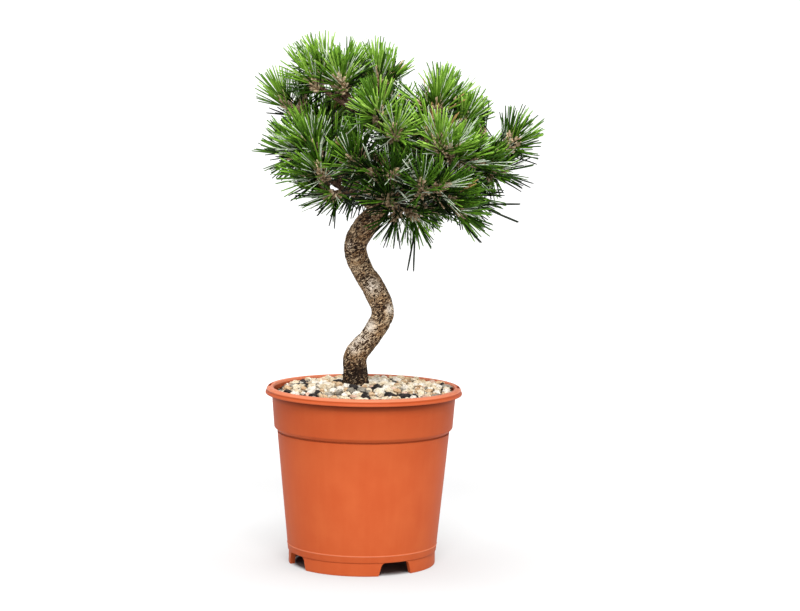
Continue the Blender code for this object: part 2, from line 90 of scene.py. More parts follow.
# Pot, as in the solids
POT_AXIS = Vector((-36 * MM, -1 * MM, 0))
POT_STEPS = 160
POT_HEIGHT = 203.5 * MM
WALL = 2 * MM
LIP_RADIUS = 112.5 * MM
LIP_HEIGHT = 8 * MM
COLLAR_RADIUS = 105.2 * MM
COLLAR_TAPER = 3 * MM
COLLAR_HEIGHT = 38 * MM
CHAMFER = 3.4 * MM
BODY_FOOT_RADIUS = 85.2 * MM
FOOT_HEIGHT = 15.5 * MM
FOOT_RING_OUTER = 84.2 * MM
FOOT_RING_WIDTH = 6 * MM
FLOOR = 2.5 * MM
FEET = 4
FOOT_GAP_WIDTH = (41 * MM, 33 * MM)
FOOT_GAP_TURN = 298
FOOT_GAP_ROOF = 0.5 * MM
FOOT_GAP_ROUNDING = 4 * MM

# The lip's section from the inside out and down, in mm from its outer radius and its top, with each rounding
LIP_SECTION = (
    (-9.4, -3.0, 0.8),
    (-8.2, 0.0, 0.8),
    (-3.0, 0.0, 1.0),
    (-1.0, -2.5, 0.8),
    (-1.4, -4.4, 0.6),
    (0.0, -5.8, 0.6),
    (0.0, -7.6, 0.5),
    (-1.4, -8.0, 0.3),
    (-2.6, -5.2, 0.3),
    (-7.3, -4.8, 0.4),
)

# The groove under the collar and the moulding line above the foot, in mm out from the wall and up
GROOVE_SECTION = ((0.0, 0.0, 0.3), (-1.5, -0.2, 0.2), (-1.5, -2.0, 0.2), (-0.3, -2.3, 0.3))
LINE_HEIGHT = 23 * MM
LINE_SECTION = ((0.0, 0.8, 0.2), (0.35, 0.3, 0.2), (0.35, -0.3, 0.2), (0.0, -0.8, 0.2))
# The body's two tones, then painted highlight, painted shade on the upper pot, painted shade under the lip and in
# the groove, and a painted shadow line under the lip
POT_COLOURS = ((182, 81, 41), (188, 89, 47))
PAINTED_HIGHLIGHT_COLOUR = (224, 144, 110)
UPPER_SHADE_COLOUR = (146, 56, 22)
PAINTED_SHADE_COLOUR = (92, 32, 12)
LIP_SHADOW_COLOUR = (26, 8, 3)
SLOT_TURNS = (5, 175)
SLOT_SIZE = (3.4 * MM, 30 * MM, 7.6 * MM)
SLOT_RADIUS = 107.6 * MM

# Stones on the fill, as in the solids
GROUND = 206 * MM
GROUND_FLAT = 20 * MM
MOUND_EDGE = 199 * MM
MOUND_LEAN = (3 * MM, 2 * MM)
MOUND_INNER_RADIUS = 102 * MM
BED_DEPTH = 4 * MM
BED_STEPS = (40, 100)

# Stones by size: how many are tried, their least and most size in mm, how deep they sit, how near they lie
STONE_LAYERS = ((900, 9, 14, 0.5, 0.8), (1600, 5, 8.5, 1.2, 0.7), (900, 3, 4.5, 2.0, 0.3))
STONE_FLATNESS = ((0.72, 0.95), (0.58, 0.85))
STONE_SHAPES = 3
STONE_CORNERS = 15
TRUNK_RING = 13 * MM

# Kinds of stone: name, shares on the left and on the right, light and dark colour, length
STONE_KINDS = (
    ("cream", (0.36, 0.4), (236, 224, 200), (212, 190, 156), 1.15),
    ("pale", (0.16, 0.26), (246, 240, 228), (222, 210, 192), 1.15),
    ("tan", (0.14, 0.12), (222, 192, 154), (184, 148, 112), 1.15),
    ("pink", (0.05, 0.07), (232, 200, 180), (200, 160, 138), 1.15),
    ("grey", (0.17, 0.08), (170, 162, 148), (120, 112, 100), 1.25),
    ("dark", (0.12, 0.07), (62, 56, 54), (30, 28, 28), 1.9),
)

# Trunk: places of its bends and its diameter at each, in mm
TRUNK_BENDS = (
    (-45, 4, 196, 36),
    (-45, 4, 206, 31),
    (-46, 3, 222, 27),
    (-45, 0, 240, 26),
    (-28, -3, 263, 23.5),
    (-15.5, -3, 288, 25),
    (-25, 3, 314, 26),
    (-40.5, 6, 338, 24.5),
    (-48, 4, 363, 25.5),
    (-38, -3, 386, 27),
    (-21, -4, 407, 22),
    (-7, -1, 434, 19),
    (-1, 3, 458, 15),
    (7, 4, 490, 10),
)
STEPS_PER_BEND = 8
TRUNK_SIDES = 120
TRUNK_STEP = 0.8 * MM

# Bark: the size of its flakes and how drawn out they are along the limb
BARK_PLATE = 4 * MM
BARK_STRETCH = 0.6
BARK_SLANT = -30

# Pale and rusty patches on the trunk: place in mm, and size. The pale ones are partly pale bark and partly painted
# light, on the sides that face up
PALE_AND_LIT_PATCHES = (
    ((-28, -12, 321), 14),
    ((-31, -12, 274), 11),
    ((-40, -12, 263), 13),
    ((-48, -12, 253), 13),
    ((-6, -12, 294), 9),
    ((-57, -12, 365), 9),
)
RUSTY_PATCHES = (((-37, -12, 236), 16), ((-45, -12, 342), 15), ((-19, -16, 262), 12))

# The trunk's barer middle: the heights where it starts and ends, each with the blur of its edge
BARE_FROM = (242 * MM, 10 * MM)
BARE_TO = (352 * MM, 12 * MM)

# Boughs and shoots
BOUGH_ROOT = 9.5 * MM
BOUGH_TIP = 6 * MM
BOUGH_ARCH = 0.06
BOUGH_STEPS = 8
SHOOT_WIDTH = (6.4 * MM, 4.2 * MM)
SHOOT_STEPS = 6
CORE_LENGTH = 24 * MM
LIFT = 0.45
LOWEST_LIFTED = -10

# Side shoots: how many, how far out, how wide, and where on the shoot
SIDE_SHOOTS = (1, 2)
SIDE_REACH = (26 * MM, 36 * MM)
SIDE_OPENING = (38, 60)
SIDE_PLACES = (0.3, 1.0)
SIDE_LIFT = 0.2

# Needles: each pair is drawn one unit long, with (height, radius) sections
NEEDLE_LENGTH = 41 * MM
NEEDLE_RADIUS = 0.95 * MM
NEEDLE_SECTIONS = ((0.0, 0.7), (0.3, 1.0), (0.75, 1.0), (0.97, 0.72), (1.0, 0.0))
NEEDLE_BOW = 0.03
NEEDLE_SPREAD = (0.85, 1.04)
NEEDLE_PAIRS = 40
SIDE_PAIRS = 26
NEEDLE_OPENING = (70, 10)
OPENING_SPREAD = 11
PAIR_TURN = 7

# Greens from the darkest to the brightest, dealt to shoots largely as painted light and shade, with a light and a
# dark tone of each
GREENS = (
    ("shade", (14, 30, 3), (8, 18, 2)),
    ("deep", (44, 76, 12), (28, 54, 6)),
    ("mid", (80, 120, 30), (58, 92, 18)),
    ("fresh", (118, 160, 52), (90, 130, 34)),
    ("bright", (162, 198, 92), (126, 166, 60)),
)
# Other needles: pale glints, painted highlights that stand for light off the waxy needles, and dead straw ones
OTHER_GREENS = (("silver", (214, 222, 204), (164, 182, 154)), ("straw", (160, 132, 80), (128, 98, 58)))
GLINT_SHARE = 0.14
GLINT_RADIUS = 0.55 * MM
STRAW_SHARE = 0.006
YOUNGEST = Vector((43, -80, 478)) * MM
YOUNG_REACH = 65 * MM
OLDEST = Vector((8, -85, 445)) * MM
OLD_REACH = 60 * MM
SUNNY_REACH = 100 * MM
DARKER_SHARE = 0.3
LIGHTER_SHARE = 0.24
# Shares of a shoot from its foot whose needles are darker, being older and painted as shaded
OLD_AND_SHADED_SHARE = 0.45
OLDEST_AND_SHADED_SHARE = 0.22

# Long old needles that hang out of the crown, from root to tip, in mm
STRAYS = (
    ((20, -74, 393), (15, -80, 343)),
    ((89, -66, 418), (136, -72, 419)),
    ((91, -70, 416), (134, -76, 399)),
    ((67, -78, 403), (93, -84, 376)),
)

# Where the sky shows through the crown: lines that no needle comes near, from front to back, and how near, in mm
SKY_GAPS = (
    ((-70, -120, 437), (-77, 120, 424), 3.6),
    ((-64, -120, 438), (-70, 120, 425), 5),
    ((107, -120, 521), (117, 120, 516), 4),
    ((104, -120, 513), (113, 120, 506), 5.5),
    ((100, -120, 505), (109, 120, 498), 6.5),
    ((104, -120, 499), (114, 120, 491), 4.5),
    ((54, -120, 398), (58, 120, 381), 4.5),
    ((56, -120, 388), (61, 120, 371), 7),
    ((15, -120, 558), (16, 120, 556), 6),
    ((-148, -120, 518), (-162, 120, 512), 6),
    ((114, -120, 441), (124, 120, 429), 5),
    ((126, -120, 435), (137, 120, 422), 6),
    ((1, -120, 579), (1, 120, 579), 5),
    ((-125, -120, 573), (-137, 120, 572), 4),
    ((-62, -120, 590), (-69, 120, 591), 4),
    ((-143, -120, 524), (-156, 120, 519), 4),
    ((-143, -120, 469), (-157, 120, 459), 5),
    ((134, -120, 457), (146, 120, 445), 5),
    ((43, -120, 386), (47, 120, 368), 4),
    ((6, -120, 554), (6, 120, 552), 3.5),
    ((22, -120, 554), (24, 120, 552), 3.5),
    ((102, -120, 428), (111, 120, 414), 3.5),
    ((64, -120, 397), (69, 120, 380), 3),
)
GAP_PROBES = 12

# Small parts on the shoots, drawn one unit long up Z, with (height, radius) sections
SHEATH_SECTIONS = ((0.0, 0.2), (0.5, 0.2), (1.0, 0.13), (1.02, 0.0))
SHEATH_LENGTH = 9 * MM
BUD_SECTIONS = ((-0.1, 0.1), (0.15, 0.16), (0.5, 0.14), (0.8, 0.07), (1.0, 0.0))
BUD_LENGTH = (5 * MM, 8 * MM)
BUDS = (1, 2)
PEG_SECTIONS = ((-0.2, 0.34), (0.5, 0.26), (1.0, 0.0))
PEG_LENGTH = (1.8 * MM, 3 * MM)
PEGS = 34

# Each mass: its height on the trunk in mm, then (turn, rise, reach) of the way to its fork, then the same for
# each shoot from there, with reaches in mm
MASSES = {
    "left_low": (402, (210, 35, 45), ((220, 5, 40), (240, 25, 70))),
    "left_mid": (424, (195, 30, 80), ((170, 20, 45), (215, 10, 35), (250, 20, 50))),
    "left_high": (452, (170, 20, 100), ((190, 50, 60), (60, 45, 35))),
    "crest_left": (474, (205, 40, 60), ((170, 45, 80), (180, 35, 80), (165, 50, 75))),
    "crest": (483, (145, 55, 45), ((165, 75, 45), (110, 65, 45))),
    "front_high": (460, (255, 35, 50), ((240, 55, 45), (280, 15, 50))),
    "front_mid": (440, (245, 15, 50), ((235, 15, 50), (290, 0, 65))),
    "front_low": (412, (295, 10, 50), ((250, 10, 45), (310, -35, 35))),
    "front_low_right": (434, (305, -5, 65), ((335, -25, 50), (265, 15, 55), (330, 0, 40))),
    "right_front": (456, (315, 0, 70), ((265, 45, 50), (330, 30, 35))),
    "leader": (488, (350, 20, 35), ((280, 50, 40), (70, 60, 45))),
    "right_high": (466, (0, 25, 65), ((340, 45, 25), (60, 20, 20))),
    "right": (446, (0, 5, 100), ((345, 50, 50), (20, 25, 20), (285, 15, 30))),
    "right_low": (422, (350, 10, 65), ((325, 5, 30), (40, 0, 30))),
    "back_left": (437, (150, 15, 80), ((160, 20, 45), (115, -10, 35))),
    "back_crest": (470, (110, 30, 50), ((145, 35, 40), (85, 15, 50), (45, 5, 45))),
    "back_right_high": (484, (50, -5, 55), ((75, 40, 45), (40, 30, 35))),
    "back_right": (432, (30, 20, 95), ((20, 5, 30), (75, -10, 50))),
    "back_mid": (460, (70, 0, 65), ((45, 0, 50), (85, 15, 45), (130, 10, 50))),
    "back_low_left": (418, (115, 15, 60), ((115, 10, 40), (80, -15, 40), (200, -20, 30))),
    "back_low": (408, (55, 15, 65), ((105, 5, 55), (60, 0, 50), (60, -35, 30))),
    "back_low_right": (420, (35, 10, 80), ((70, -5, 45), (15, 10, 35))),
}


# Shader maths

class Amount:
    """A number that changes over a surface, which Python's operators work on."""

    def __init__(self, finish, socket):
        self.finish = finish
        self.socket = socket

    def maths(self, operation, first, second):
        return self.finish.node("ShaderNodeMath", {"operation": operation}, {0: first, 1: second})

    def __add__(self, other):
        return self.maths("ADD", self, other)

    def __radd__(self, other):
        return self.maths("ADD", other, self)

    def __sub__(self, other):
        return self.maths("SUBTRACT", self, other)

    def __rsub__(self, other):
        return self.maths("SUBTRACT", other, self)

    def __mul__(self, other):
        return self.maths("MULTIPLY", self, other)

    def __rmul__(self, other):
        return self.maths("MULTIPLY", other, self)

    def above(self, edge, blur):
        """0 below an edge and 1 above it, blurred over a band."""
        settings = {"interpolation_type": "SMOOTHSTEP"}
        return self.finish.node("ShaderNodeMapRange", settings, {0: self, 1: edge - blur, 2: edge + blur})

    def or_more(self, other):
        return self.maths("MAXIMUM", self, other)


class Finish:
    """A material in the making, with one method that adds any node."""

    def __init__(self, name, roughness=0.5, gloss=0.5):
        self.material = bpy.data.materials.new(name)
        self.material.use_nodes = True
        self.tree = self.material.node_tree
        self.shader = self.tree.nodes["Principled BSDF"]
        self.shader.inputs["Roughness"].default_value = roughness
        self.shader.inputs["Specular IOR Level"].default_value = gloss
        self.place = self.node("ShaderNodeTexCoord", out="Object")

    def node(self, kind, settings=None, sockets=None, out=0):
        made = self.tree.nodes.new(kind)
        for name, value in (settings or {}).items():
            setattr(made, name, value)
        for name, value in (sockets or {}).items():
            self.feed(made.inputs[name], value)
        return Amount(self, made.outputs[out])

    def feed(self, socket, value):
        if isinstance(value, Amount):
            self.tree.links.new(value.socket, socket)
        else:
            socket.default_value = value

    def stretched(self, scale, place=None):
        return self.node("ShaderNodeMapping", None, {"Vector": place or self.place, "Scale": scale})

    def drawn_out(self, lengths, slant, place):
        """The place drawn out along axes that are turned about Y."""
        sockets = {"Vector": place, "Rotation": (0, math.radians(slant), 0), "Scale": lengths}
        return self.node("ShaderNodeMapping", {"vector_type": "TEXTURE"}, sockets)

    def warped(self, size, reach):
        """The place, pushed about by a noise."""
        push = self.node("ShaderNodeTexNoise", None, {"Vector": self.place, "Scale": 1 / size}, "Color")
        centred = self.node("ShaderNodeVectorMath", {"operation": "SUBTRACT"}, {0: push, 1: (0.5, 0.5, 0.5)})
        pushed = self.node("ShaderNodeVectorMath", {"operation": "SCALE"}, {0: centred, "Scale": 2 * reach})
        return self.node("ShaderNodeVectorMath", {"operation": "ADD"}, {0: self.place, 1: pushed})

    def noise(self, size, detail=3.0, place=None):
        sockets = {"Vector": place or self.place, "Scale": 1 / size, "Detail": detail}
        return self.node("ShaderNodeTexNoise", None, sockets)

    def cells(self, size, feature="F1", place=None, out=0):
        sockets = {"Vector": place or self.place, "Scale": 1 / size}
        return self.node("ShaderNodeTexVoronoi", {"feature": feature}, sockets, out)

    def level(self):
        return self.node("ShaderNodeSeparateXYZ", None, {0: self.place}, "Z")

    def away_from(self, centre):
        """The distance from a place in mm."""
        centre = tuple(Vector(centre) * MM)
        return self.node("ShaderNodeVectorMath", {"operation": "DISTANCE"}, {0: self.place, 1: centre}, "Value")

    def near(self, centre, reach):
        """1 close to a place in mm, and 0 further away than its reach."""
        return 1 - self.away_from(centre).above(0.65 * reach * MM, 0.6 * reach * MM)

    def above_or_below(self, level, height, reach):
        """0 at a height and 1 further than a reach from it."""
        away = self.node("ShaderNodeMath", {"operation": "ABSOLUTE"}, {0: level - height})
        return away.above(0.7 * reach, 0.3 * reach)

    def mixed(self, share, first, second):
        """The first colour where share is 0 and the second where it is 1."""
        sockets = {0: share, 6: colour(first), 7: colour(second)}
        return self.node("ShaderNodeMix", {"data_type": "RGBA"}, sockets, 2)

    def bump(self, height, depth):
        shape = self.node("ShaderNodeBump", None, {"Height": height, "Distance": depth, "Strength": 1.0})
        self.feed(self.shader.inputs["Normal"], shape)

    def set(self, socket, value):
        self.feed(self.shader.inputs[socket], colour(value) if "Color" in socket else value)


def colour(value):
    """A screen colour (red, green, blue from 0 to 255) as the shader's linear one."""
    if isinstance(value, Amount):
        return value
    return (*Color([part / 255 for part in value]).from_srgb_to_scene_linear(), 1)


# Materials

def pot_plastic():
    """Terracotta polypropylene: satin and faintly clouded, with painted highlights on the rim, the lip's flare and
    the moulding line, painted shade towards the top, under the lip and in the groove, and a painted shadow line
    under the lip.
    """
    made = Finish("terracotta plastic", 0.5, 0.08)
    cloud = made.noise(38 * MM, 4)
    streak = made.noise(9 * MM, 4, made.stretched((1, 1, 0.08)))
    level = made.level()
    rim = level.above(POT_HEIGHT - 2.6 * MM, 0.7 * MM)
    under_lip = POT_HEIGHT - LIP_HEIGHT
    # Painted shade under the lip and, more faintly, in the groove under the collar
    painted_shade = level.above(under_lip - 4 * MM, 4 * MM) * (1 - level.above(under_lip + 0.4 * MM, 0.4 * MM))
    under_collar = under_lip - COLLAR_HEIGHT - CHAMFER
    groove = level.above(under_collar - 2.2 * MM, 0.3 * MM) * (1 - level.above(under_collar - 0.3 * MM, 0.3 * MM))
    painted_shade = painted_shade.or_more(0.5 * groove)
    flare = 1 - made.above_or_below(level, POT_HEIGHT - 6.2 * MM, 1.1 * MM)
    # Painted shadow: a dark line just under the lip
    lip_shadow = level.above(under_lip - 1.3 * MM, 0.4 * MM) * (1 - level.above(under_lip - 0.1 * MM, 0.2 * MM))
    # Painted shade: the upper pot a little darker towards the lip
    upper = level.above(POT_HEIGHT - 60 * MM, 50 * MM)
    line = 1 - made.above_or_below(level, LINE_HEIGHT, 0.9 * MM)
    body = made.mixed((0.7 * cloud + 0.3 * streak).above(0.5, 0.2), POT_COLOURS[0], POT_COLOURS[1])
    body = made.mixed(0.4 * upper, body, UPPER_SHADE_COLOUR)
    # Painted highlight on the rim's top, the lip's flare and the moulding line
    body = made.mixed((rim * 0.5).or_more(line * 0.4).or_more(flare * 0.1), body, PAINTED_HIGHLIGHT_COLOUR)
    body = made.mixed(painted_shade * 0.8, body, PAINTED_SHADE_COLOUR)
    made.set("Base Color", made.mixed(lip_shadow * 0.85, body, LIP_SHADOW_COLOUR))
    made.set("Roughness", 0.44 + 0.14 * cloud - 0.1 * rim)
    made.bump(made.noise(2.2 * MM, 3) + 1.2 * cloud, 0.06 * MM)
    return made.material


def bark():
    """Flaking bark: short dark cracks and cream flecks on brown, with pale patches that are partly pale bark and
    partly painted light, rusty patches and a dark foot.
    """
    made = Finish("bark", 0.9, 0.15)
    slanted = made.drawn_out((2.2, 1, 0.9), BARK_SLANT, made.warped(8 * MM, 3 * MM))
    flakes = made.noise(1.9 * MM, 5, slanted)
    grain = made.noise(0.9 * MM, 3)
    net = 1 - made.above_or_below(made.noise(2.4 * MM, 3, slanted), 0.5, 0.05)
    zone = made.noise(16 * MM, 3)
    hue = made.noise(8 * MM, 3)
    # Pale patches: pale bark, and painted light on the sides that face up
    pale = made.near(*PALE_AND_LIT_PATCHES[0])
    for patch in PALE_AND_LIT_PATCHES[1:]:
        pale = pale.or_more(made.near(*patch))
    rusty = made.near(*RUSTY_PATCHES[0])
    for patch in RUSTY_PATCHES[1:]:
        rusty = rusty.or_more(made.near(*patch))
    pale = pale * (0.4 + hue.above(0.45, 0.15) * 0.6)
    foot = 1 - made.level().above(GROUND + 24 * MM, 12 * MM)
    middle = made.level().above(*BARE_FROM) * (1 - made.level().above(*BARE_TO))
    light = flakes + 0.3 * (zone - 0.5) + 0.4 * (grain - 0.5) + 0.02 * middle - 0.08 * foot
    brown = made.mixed(hue.above(0.5, 0.12), (86, 61, 40), (92, 59, 33))
    brown = made.mixed((0.15 * middle).or_more(0.8 * pale), brown, (128, 104, 82))
    brown = made.mixed(rusty * 0.7, brown, (104, 66, 36))
    brown = made.mixed(foot * 0.8, brown, (48, 38, 31))
    cream = made.mixed(hue.above(0.5, 0.12), (208, 182, 148), (168, 136, 100))
    cream = made.mixed(pale * 0.9, cream, (244, 232, 216))
    plate = made.mixed((light + 0.12 * pale).above(0.535, 0.035), brown, cream)
    crack = (1 - light.above(0.45, 0.03)).or_more(0.72 * net) * (1 - 0.6 * pale)
    made.set("Base Color", made.mixed(crack, plate, (32, 21, 13)))
    made.set("Roughness", 0.8 + 0.18 * grain)
    made.bump(light - 0.12 * net, 2.2 * MM)
    return made.material


def shoot_bark(name, light, dark, scale=1.7 * MM):
    """Scaly skin of the young shoots, buds and sheaths."""
    made = Finish(name, 0.8, 0.2)
    scales = made.cells(scale, "F1")
    made.set("Base Color", made.mixed(scales.above(0.45, 0.3), light, dark))
    made.bump(scales, -0.5 * MM)
    return made.material


def needle_green(name, light, dark):
    """A waxy needle, a little uneven in its green."""
    made = Finish(name, 0.42, 0.1)
    made.set("Base Color", made.mixed(made.noise(6 * MM, 2).above(0.5, 0.2), light, dark))
    return made.material


def mineral(name, light, dark, grain=1.5 * MM):
    """Porous stone with small pits."""
    made = Finish(name, 0.92, 0.2)
    pits = made.cells(grain, "F1")
    speck = made.noise(1.5 * MM, 4).above(0.62, 0.05)
    stain = made.mixed(made.noise(5 * MM, 5).above(0.5, 0.22), light, dark)
    made.set("Base Color", made.mixed(speck * 0.55, stain, [part // 3 for part in dark]))
    made.bump(pits, 0.7 * MM)
    return made.material


# Shared mesh work

def as_piece(name, mesh, material=None):
    """A plain object at the origin."""
    obj = bpy.data.objects.new(name, mesh)
    bpy.context.scene.collection.objects.link(obj)
    if material:
        mesh.materials.clear()
        mesh.materials.append(material)
    return obj


def as_mesh(bm, name):
    mesh = bpy.data.meshes.new(name)
    bm.to_mesh(mesh)
    bm.free()
    return mesh


def finished(obj):
    """The evaluated mesh of an object in a plain one of the same name."""
    bpy.context.view_layer.update()
    mesh = bpy.data.meshes.new_from_object(obj.evaluated_get(bpy.context.evaluated_depsgraph_get()))
    name = obj.name
    mesh.transform(obj.matrix_world)
    bpy.data.objects.remove(obj)
    return as_piece(name, mesh)


def dressed(piece, slot, *nodes):
    """Says what a finished piece moves with and stands for; its slot is not used."""
    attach(piece, BODY)
    if nodes:
        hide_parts(*nodes)
    return piece


class NodeShape:
    """A geometry node tree with named inputs, and one method that adds any node."""

    def __init__(self, name):
        self.tree = bpy.data.node_groups.new(name, "GeometryNodeTree")
        self.tree.interface.new_socket("Geometry", in_out="INPUT", socket_type="NodeSocketGeometry")
        self.tree.interface.new_socket("Geometry", in_out="OUTPUT", socket_type="NodeSocketGeometry")
        self.entry = None

    def input(self, name, kind):
        self.tree.interface.new_socket(name, in_out="INPUT", socket_type=kind)

    def given(self, name):
        if not self.entry:
            self.entry = self.tree.nodes.new("NodeGroupInput")
        return self.entry.outputs[name]

    def node(self, kind, settings=None, sockets=None, out=0):
        made = self.tree.nodes.new(kind)
        for name, value in (settings or {}).items():
            setattr(made, name, value)
        for name, value in (sockets or {}).items():
            if isinstance(value, bpy.types.NodeSocket):
                self.tree.links.new(value, made.inputs[name])
            else:
                made.inputs[name].default_value = value
        return made.outputs[out]

    def maths(self, operation, first, second=0.0):
        return self.node("ShaderNodeMath", {"operation": operation}, {0: first, 1: second})

    def vector(self, operation, first, second):
        """Vector maths, where the second of a SCALE is a number."""
        other = "Scale" if operation == "SCALE" else 1
        return self.node("ShaderNodeVectorMath", {"operation": operation}, {0: first, other: second})

    def ends(self, geometry, smooth):
        """Realises the instances, sets the material and closes the tree."""
        real = self.node("GeometryNodeRealizeInstances", None, {"Geometry": geometry})
        even = self.node("GeometryNodeSetShadeSmooth", None, {"Geometry": real, "Shade Smooth": smooth})
        last = self.node("GeometryNodeSetMaterial", None, {"Geometry": even, "Material": self.given("Material")})
        self.tree.links.new(last, self.tree.nodes.new("NodeGroupOutput").inputs[0])
        return self.tree


def grown_by(tree, obj, values):
    """Runs a node tree on an object, with its inputs set by name, and returns the plain result."""
    modifier = obj.modifiers.new("Grow", "NODES")
    modifier.node_group = tree
    for item in tree.interface.items_tree:
        if item.in_out == "INPUT" and item.name in values:
            modifier[item.identifier] = values[item.name]
    return finished(obj)


def copies_tree():
    """A copy of a pattern on each point, turned and sized by the point's own attributes."""
    shape = NodeShape("Copies on points")
    shape.input("Pattern", "NodeSocketObject")
    shape.input("Size", "NodeSocketFloat")
    shape.input("Smooth", "NodeSocketBool")
    shape.input("Material", "NodeSocketMaterial")
    pattern = shape.node("GeometryNodeObjectInfo", None, {"Object": shape.given("Pattern")}, "Geometry")
    turn = shape.node("GeometryNodeInputNamedAttribute", {"data_type": "QUATERNION"}, {"Name": "turn"})
    grown = shape.node("GeometryNodeInputNamedAttribute", {"data_type": "FLOAT_VECTOR"}, {"Name": "grown"})
    sized = shape.vector("SCALE", grown, shape.given("Size"))
    sockets = {"Points": shape.given("Geometry"), "Instance": pattern, "Rotation": turn, "Scale": sized}
    return shape.ends(shape.node("GeometryNodeInstanceOnPoints", None, sockets), shape.given("Smooth"))


def limb_tree():
    """Bark with its plates raised and its cracks sunk, along curves that carry their own radius."""
    shape = NodeShape("Barked limb")
    for name in ("Step", "Plate Size", "Plate Stretch", "Relief", "Knobs"):
        shape.input(name, "NodeSocketFloat")
    shape.input("Sides", "NodeSocketInt")
    shape.input("Material", "NodeSocketMaterial")
    sockets = {"Curve": shape.given("Geometry"), "Length": shape.given("Step")}
    even = shape.node("GeometryNodeResampleCurve", {"mode": "LENGTH"}, sockets)
    ring = shape.node("GeometryNodeCurvePrimitiveCircle", None, {"Resolution": shape.given("Sides"), "Radius": 1.0})
    width = shape.node("GeometryNodeInputRadius")
    sockets = {"Curve": even, "Profile Curve": ring, "Scale": width, "Fill Caps": True}
    skin = shape.node("GeometryNodeCurveToMesh", None, sockets)
    place = shape.node("GeometryNodeInputPosition")
    long = shape.node("ShaderNodeCombineXYZ", None, {0: 1.0, 1: 1.0, 2: shape.given("Plate Stretch")})
    often = shape.maths("DIVIDE", 1.0, shape.given("Plate Size"))
    sockets = {"Vector": shape.vector("MULTIPLY", place, long), "Scale": often, "Detail": 4.0}
    flakes = shape.node("ShaderNodeTexNoise", None, sockets)
    plate = shape.node("ShaderNodeMapRange", {"interpolation_type": "SMOOTHSTEP"}, {0: flakes, 1: 0.36, 2: 0.54})
    rough = shape.node("ShaderNodeTexNoise", None, {"Vector": place, "Scale": 1 / (2 * MM), "Detail": 3.0})
    swell = shape.node("ShaderNodeTexNoise", None, {"Vector": place, "Scale": 1 / (24 * MM), "Detail": 1.0})
    relief = shape.maths("ADD", shape.maths("MULTIPLY", plate, 0.6), shape.maths("SUBTRACT", rough, 0.95))
    low = shape.maths("MULTIPLY", relief, shape.given("Relief"))
    high = shape.maths("MULTIPLY", shape.maths("SUBTRACT", swell, 0.5), shape.given("Knobs"))
    normal = shape.node("GeometryNodeInputNormal")
    pushed = shape.vector("SCALE", normal, shape.maths("ADD", low, high))
    return shape.ends(shape.node("GeometryNodeSetPosition", None, {"Geometry": skin, "Offset": pushed}), True)


COPIES = copies_tree()
LIMB = limb_tree()


def limbs_piece(name, paths, step, sides, plate, relief, knobs, material):
    """One mesh of tapering limbs along (place, diameter) paths."""
    curve = bpy.data.curves.new(name, "CURVE")
    curve.dimensions = "3D"
    for path in paths:
        spline = curve.splines.new("POLY")
        spline.points.add(len(path) - 1)
        for point, (place, diameter) in zip(spline.points, path):
            point.co = (*place, 1)
            point.radius = diameter / 2
    values = {
        "Step": step,
        "Plate Size": plate,
        "Plate Stretch": BARK_STRETCH,
        "Relief": relief,
        "Knobs": knobs,
        "Sides": sides,
        "Material": material,
    }
    return grown_by(LIMB, as_piece(name, curve), values)


def copies_piece(name, pattern, points, material, smooth=True):
    """Copies of a pattern mesh on (place, turn, size) points, in one mesh."""
    holder = as_piece("pattern", pattern)
    mesh = bpy.data.meshes.new(name)
    mesh.vertices.add(len(points))
    mesh.vertices.foreach_set("co", np.array([place for place, _, _ in points], np.float32).ravel())
    turns = mesh.attributes.new("turn", "QUATERNION", "POINT")
    turns.data.foreach_set("value", np.array([turn for _, turn, _ in points], np.float32).ravel())
    sizes = mesh.attributes.new("grown", "FLOAT_VECTOR", "POINT")
    sizes.data.foreach_set("vector", np.array([size for _, _, size in points], np.float32).ravel())
    values = {"Pattern": holder, "Size": 1.0, "Smooth": smooth, "Material": material}
    made = grown_by(COPIES, as_piece(name, mesh), values)
    bpy.data.objects.remove(holder)
    for spare in ("turn", "grown"):
        if spare in made.data.attributes:
            made.data.attributes.remove(made.data.attributes[spare])
    return made


def add_rod(bm, sections, sides, lean=0.0, bow=0.0):
    """A closed rod up Z through (height, radius) sections, the last of them a point."""
    rows = []
    for height, radius in sections:
        middle = Vector((height * math.sin(lean) + bow * height**2, 0, height * math.cos(lean)))
        around = [math.tau * k / sides for k in range(sides if radius else 1)]
        rows.append([bm.verts.new(middle + radius * Vector((math.cos(a), math.sin(a), 0))) for a in around])
    for low, high in zip(rows, rows[1:]):
        for k in range(sides):
            after = (k + 1) % sides
            if len(high) == 1:
                bm.faces.new((low[k], low[after], high[0]))
            else:
                bm.faces.new((low[k], low[after], high[after], high[k]))
    bm.faces.new(rows[0][::-1])


def rod_mesh(name, sections, sides):
    bm = bmesh.new()
    add_rod(bm, sections, sides)
    return as_mesh(bm, name)


# The plant's rule, as in the solids

def direction(turn, rise):
    flat = math.cos(math.radians(rise))
    around = math.radians(turn)
    return Vector((flat * math.cos(around), flat * math.sin(around), math.sin(math.radians(rise))))


def between(ends, t):
    return ends[0] + (ends[1] - ends[0]) * t


def spline_value(before, start, end, after, t):
    """The Catmull-Rom curve through start and end, at a share t of the way."""
    return 0.5 * (
        2 * start
        + (end - before) * t
        + (2 * before - 5 * start + 4 * end - after) * t**2
        + (3 * start - before - 3 * end + after) * t**3
    )


def smooth_path(bends, steps):
    """A smooth line through the bends, as (place, diameter) pairs in metres."""
    last = len(bends) - 1
    rows = []
    for i in range(last):
        around = (bends[max(i - 1, 0)], bends[i], bends[i + 1], bends[min(i + 2, last)])
        for step in range(steps):
            rows.append([spline_value(*numbers, step / steps) for numbers in zip(*around)])
    rows.append(bends[last])
    return [(Vector(row[:3]) * MM, row[3] * MM) for row in rows]


